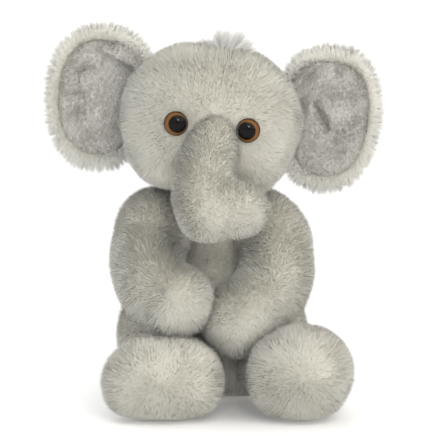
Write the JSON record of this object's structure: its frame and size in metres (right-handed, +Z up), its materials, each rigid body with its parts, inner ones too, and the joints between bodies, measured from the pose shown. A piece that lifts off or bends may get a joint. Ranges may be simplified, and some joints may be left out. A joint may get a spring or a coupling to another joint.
{
  "type": "stuffed elephant",
  "caption": "Seated plush elephant with large round ears, a curled trunk, drooping stuffed arms and rounded feet; soft limbs turn at sewn joints.",
  "frame": {"origin": "on the floor, under the neck line, on the flat seat face", "axes": "+Z up, +X to the right of a viewer who faces the toy, +Y towards its back; the face looks along -Y"},
  "size_m": [0.2482, 0.209, 0.2831],
  "materials": {
    "plush_fur": "matte",
    "ear_velvet": "satin",
    "long_hair": "matte",
    "fibre_fill": "matte",
    "bag_cloth": "matte",
    "pellets": "matte",
    "eye_black": "gloss",
    "eye_amber": "gloss",
    "eye_clear": "gloss",
    "washer_plastic": "matte"
  },
  "bodies": {
    "torso": {"body_seat_panel": "plush_fur", "body_belly_panel": "plush_fur", "body_back_left_panel": "plush_fur", "body_back_right_panel": "plush_fur", "body_stuffing": "fibre_fill", "pellet_bag": "bag_cloth", "pellet_fill": "pellets"},
    "neck": {"neck_front_panel": "plush_fur", "neck_back_panel": "plush_fur", "neck_stuffing": "fibre_fill"},
    "head": {"head_chin_panel": "plush_fur", "head_right_panel": "plush_fur", "head_left_panel": "plush_fur", "head_gusset": "plush_fur", "head_stuffing": "fibre_fill", "hair_tuft": "long_hair", "eye_left_base": "eye_black", "eye_left_iris": "eye_amber", "eye_left_dome": "eye_clear", "eye_right_base": "eye_black", "eye_right_iris": "eye_amber", "eye_right_dome": "eye_clear", "eye_washers": "washer_plastic"},
    "ear_left": {"ear_left_back": "plush_fur", "ear_left_lining": "ear_velvet"},
    "ear_right": {"ear_right_back": "plush_fur", "ear_right_lining": "ear_velvet"},
    "trunk": {"trunk_top_panel": "plush_fur", "trunk_under_panel": "plush_fur", "trunk_stuffing": "fibre_fill"},
    "trunk_tip": {"trunk_tip_top_panel": "plush_fur", "trunk_tip_under_panel": "plush_fur", "trunk_tip_stuffing": "fibre_fill"},
    "arm_left": {"arm_left_front_panel": "plush_fur", "arm_left_back_panel": "plush_fur", "arm_left_stuffing": "fibre_fill"},
    "arm_right": {"arm_right_front_panel": "plush_fur", "arm_right_back_panel": "plush_fur", "arm_right_stuffing": "fibre_fill"},
    "leg_left": {"foot_left_sole": "plush_fur", "leg_left_upper_panel": "plush_fur", "leg_left_lower_panel": "plush_fur", "leg_left_stuffing": "fibre_fill"},
    "leg_right": {"foot_right_sole": "plush_fur", "leg_right_upper_panel": "plush_fur", "leg_right_lower_panel": "plush_fur", "leg_right_stuffing": "fibre_fill"},
    "tail": {"tail_cover": "plush_fur", "tail_tuft": "long_hair"}
  },
  "joints": [
    {"name": "neck_turn", "type": "hinge", "parent": "torso", "child": "neck", "pos_m": [0, -0.002, 0.157], "axis": [0, 0, 1], "range_deg": [-20, 20], "stiffness_Nm_per_rad": 0.6},
    {"name": "head_nod", "type": "hinge", "parent": "neck", "child": "head", "pos_m": [0, -0.002, 0.157], "axis": [1, 0, 0], "range_deg": [-10, 6], "stiffness_Nm_per_rad": 3},
    {"name": "ear_left_flap", "type": "hinge", "parent": "head", "child": "ear_left", "pos_m": [-0.06369, 0.0115, 0.22121], "axis": [0.0993, 0, 0.9951], "range_deg": [-18, 10], "stiffness_Nm_per_rad": 0.05},
    {"name": "ear_right_flap", "type": "hinge", "parent": "head", "child": "ear_right", "pos_m": [0.06069, 0.0115, 0.20879], "axis": [-0.0993, 0, -0.9951], "range_deg": [-18, 10], "stiffness_Nm_per_rad": 0.05},
    {"name": "trunk_lift", "type": "hinge", "parent": "head", "child": "trunk", "pos_m": [0, -0.062, 0.204], "axis": [-1, 0, 0], "range_deg": [0, 20], "stiffness_Nm_per_rad": 0.1},
    {"name": "trunk_curl", "type": "hinge", "parent": "trunk", "child": "trunk_tip", "pos_m": [-0.007, -0.092, 0.168], "axis": [0, -1, 0], "range_deg": [0, 15], "stiffness_Nm_per_rad": 0.05},
    {"name": "arm_left_raise", "type": "hinge", "parent": "torso", "child": "arm_left", "pos_m": [-0.037, -0.008, 0.133], "axis": [-0.55, 0.8352, 0], "range_deg": [0, 50], "stiffness_Nm_per_rad": 0.05},
    {"name": "arm_right_raise", "type": "hinge", "parent": "torso", "child": "arm_right", "pos_m": [0.037, -0.008, 0.133], "axis": [-0.9, -0.4359, 0], "range_deg": [0, 35], "stiffness_Nm_per_rad": 0.05},
    {"name": "leg_left_splay", "type": "hinge", "parent": "torso", "child": "leg_left", "pos_m": [-0.038, -0.031, 0.03], "axis": [0, 0, -1], "range_deg": [0, 18], "stiffness_Nm_per_rad": 0.05},
    {"name": "leg_right_splay", "type": "hinge", "parent": "torso", "child": "leg_right", "pos_m": [0.04, -0.03, 0.031], "axis": [0, 0, 1], "range_deg": [0, 12], "stiffness_Nm_per_rad": 0.05},
    {"name": "tail_wag", "type": "hinge", "parent": "torso", "child": "tail", "pos_m": [0, 0.0665, 0.046], "axis": [0, 1, 0], "range_deg": [-20, 20], "stiffness_Nm_per_rad": 0.005}
  ]
}
